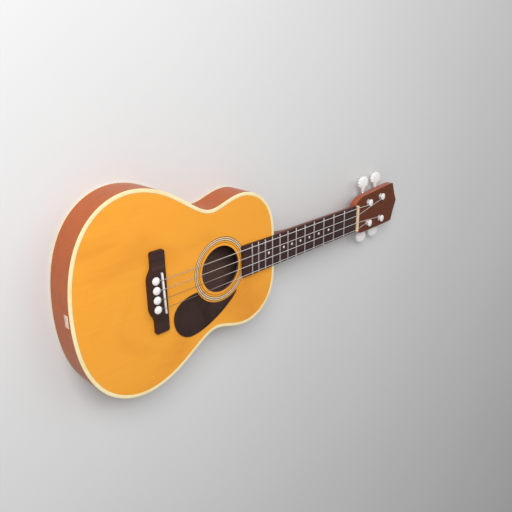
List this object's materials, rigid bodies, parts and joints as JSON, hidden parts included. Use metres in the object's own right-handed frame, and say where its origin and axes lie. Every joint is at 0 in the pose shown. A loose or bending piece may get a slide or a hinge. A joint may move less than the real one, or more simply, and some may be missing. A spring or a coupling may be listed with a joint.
{
  "type": "four-string guitar",
  "caption": "Small flat-topped guitar lying on its back: waisted hollow body with a round sound hole, pin bridge, drop-shaped pickguard, neck and headstock with geared tuners.",
  "frame": {"origin": "on the outside of the flat back, midway between the tail and the joint of neck and body, on the instrument's centreline", "axes": "+X along the body towards the headstock, +Y to the bass side, +Z out of the face"},
  "size_m": [0.6369, 0.254, 0.0527],
  "materials": {
    "spruce": "gloss lacquer",
    "mahogany": "gloss lacquer",
    "inside_wood": "bare",
    "rosewood": "satin",
    "binding": "gloss",
    "rosette": "gloss",
    "guard": "gloss",
    "bone": "satin",
    "white_plastic": "gloss",
    "nickel": "polished",
    "brass": "satin",
    "steel": "satin"
  },
  "bodies": {
    "instrument": {"bass_near_plate": "nickel", "bass_near_ferrule": "nickel", "bass_far_plate": "nickel", "bass_far_ferrule": "nickel", "treble_far_plate": "nickel", "treble_far_ferrule": "nickel", "treble_near_plate": "nickel", "treble_near_ferrule": "nickel", "neck": "mahogany", "heel_cap": "rosewood", "neck_bar": "steel", "fingerboard": "rosewood", "nut": "bone", "soundboard": "spruce", "back_plate": "mahogany", "bass_side": "mahogany", "treble_side": "mahogany", "neck_block": "inside_wood", "tail_block": "inside_wood", "top_lining": "inside_wood", "back_lining": "inside_wood", "cross_brace": "inside_wood", "upper_brace": "inside_wood", "tone_bar": "inside_wood", "back_brace_1": "inside_wood", "back_brace_2": "inside_wood", "back_brace_3": "inside_wood", "bridge_plate": "inside_wood", "top_binding": "binding", "back_binding": "binding", "rosette": "rosette", "pickguard": "guard", "tail_plate": "bone", "bridge": "rosewood", "saddle": "white_plastic", "bridge_pin_1": "white_plastic", "bridge_pin_2": "white_plastic", "bridge_pin_3": "white_plastic", "bridge_pin_4": "white_plastic", "neck_bolt": "steel", "string_1": "steel", "string_2": "steel", "string_3": "steel", "string_4": "steel"},
    "bass_near_key": {"bass_near_button": "white_plastic", "bass_near_worm_shaft": "nickel"},
    "bass_near_roller": {"bass_near_post": "white_plastic", "bass_near_gear": "brass"},
    "bass_far_key": {"bass_far_button": "white_plastic", "bass_far_worm_shaft": "nickel"},
    "bass_far_roller": {"bass_far_post": "white_plastic", "bass_far_gear": "brass"},
    "treble_far_key": {"treble_far_button": "white_plastic", "treble_far_worm_shaft": "nickel"},
    "treble_far_roller": {"treble_far_post": "white_plastic", "treble_far_gear": "brass"},
    "treble_near_key": {"treble_near_button": "white_plastic", "treble_near_worm_shaft": "nickel"},
    "treble_near_roller": {"treble_near_post": "white_plastic", "treble_near_gear": "brass"}
  },
  "joints": [
    {"name": "bass_near_key_turn", "type": "hinge", "parent": "instrument", "child": "bass_near_key", "pos_m": [0.38999, 0.0173, 0.01504], "axis": [0, 1, 0], "continuous": true},
    {"name": "bass_near_roller_turn", "type": "hinge", "parent": "instrument", "child": "bass_near_roller", "pos_m": [0.38483, 0.0173, 0.03041], "axis": [0.0958, 0, 0.9954], "continuous": true},
    {"name": "bass_far_key_turn", "type": "hinge", "parent": "instrument", "child": "bass_far_key", "pos_m": [0.4293, 0.0189, 0.01126], "axis": [0, 1, 0], "continuous": true},
    {"name": "bass_far_roller_turn", "type": "hinge", "parent": "instrument", "child": "bass_far_roller", "pos_m": [0.42415, 0.0189, 0.02662], "axis": [0.0958, 0, 0.9954], "continuous": true},
    {"name": "treble_far_key_turn", "type": "hinge", "parent": "instrument", "child": "treble_far_key", "pos_m": [0.4293, -0.0189, 0.01126], "axis": [0, 1, 0], "continuous": true},
    {"name": "treble_far_roller_turn", "type": "hinge", "parent": "instrument", "child": "treble_far_roller", "pos_m": [0.42415, -0.0189, 0.02662], "axis": [0.0958, 0, 0.9954], "continuous": true},
    {"name": "treble_near_key_turn", "type": "hinge", "parent": "instrument", "child": "treble_near_key", "pos_m": [0.38999, -0.0173, 0.01504], "axis": [0, 1, 0], "continuous": true},
    {"name": "treble_near_roller_turn", "type": "hinge", "parent": "instrument", "child": "treble_near_roller", "pos_m": [0.38483, -0.0173, 0.03041], "axis": [0.0958, 0, 0.9954], "continuous": true}
  ],
  "couplings": [
    {"joint": "bass_near_roller_turn", "follows": "bass_near_key_turn", "ratio": -0.083333},
    {"joint": "bass_far_roller_turn", "follows": "bass_far_key_turn", "ratio": -0.083333},
    {"joint": "treble_far_roller_turn", "follows": "treble_far_key_turn", "ratio": -0.083333},
    {"joint": "treble_near_roller_turn", "follows": "treble_near_key_turn", "ratio": -0.083333}
  ]
}
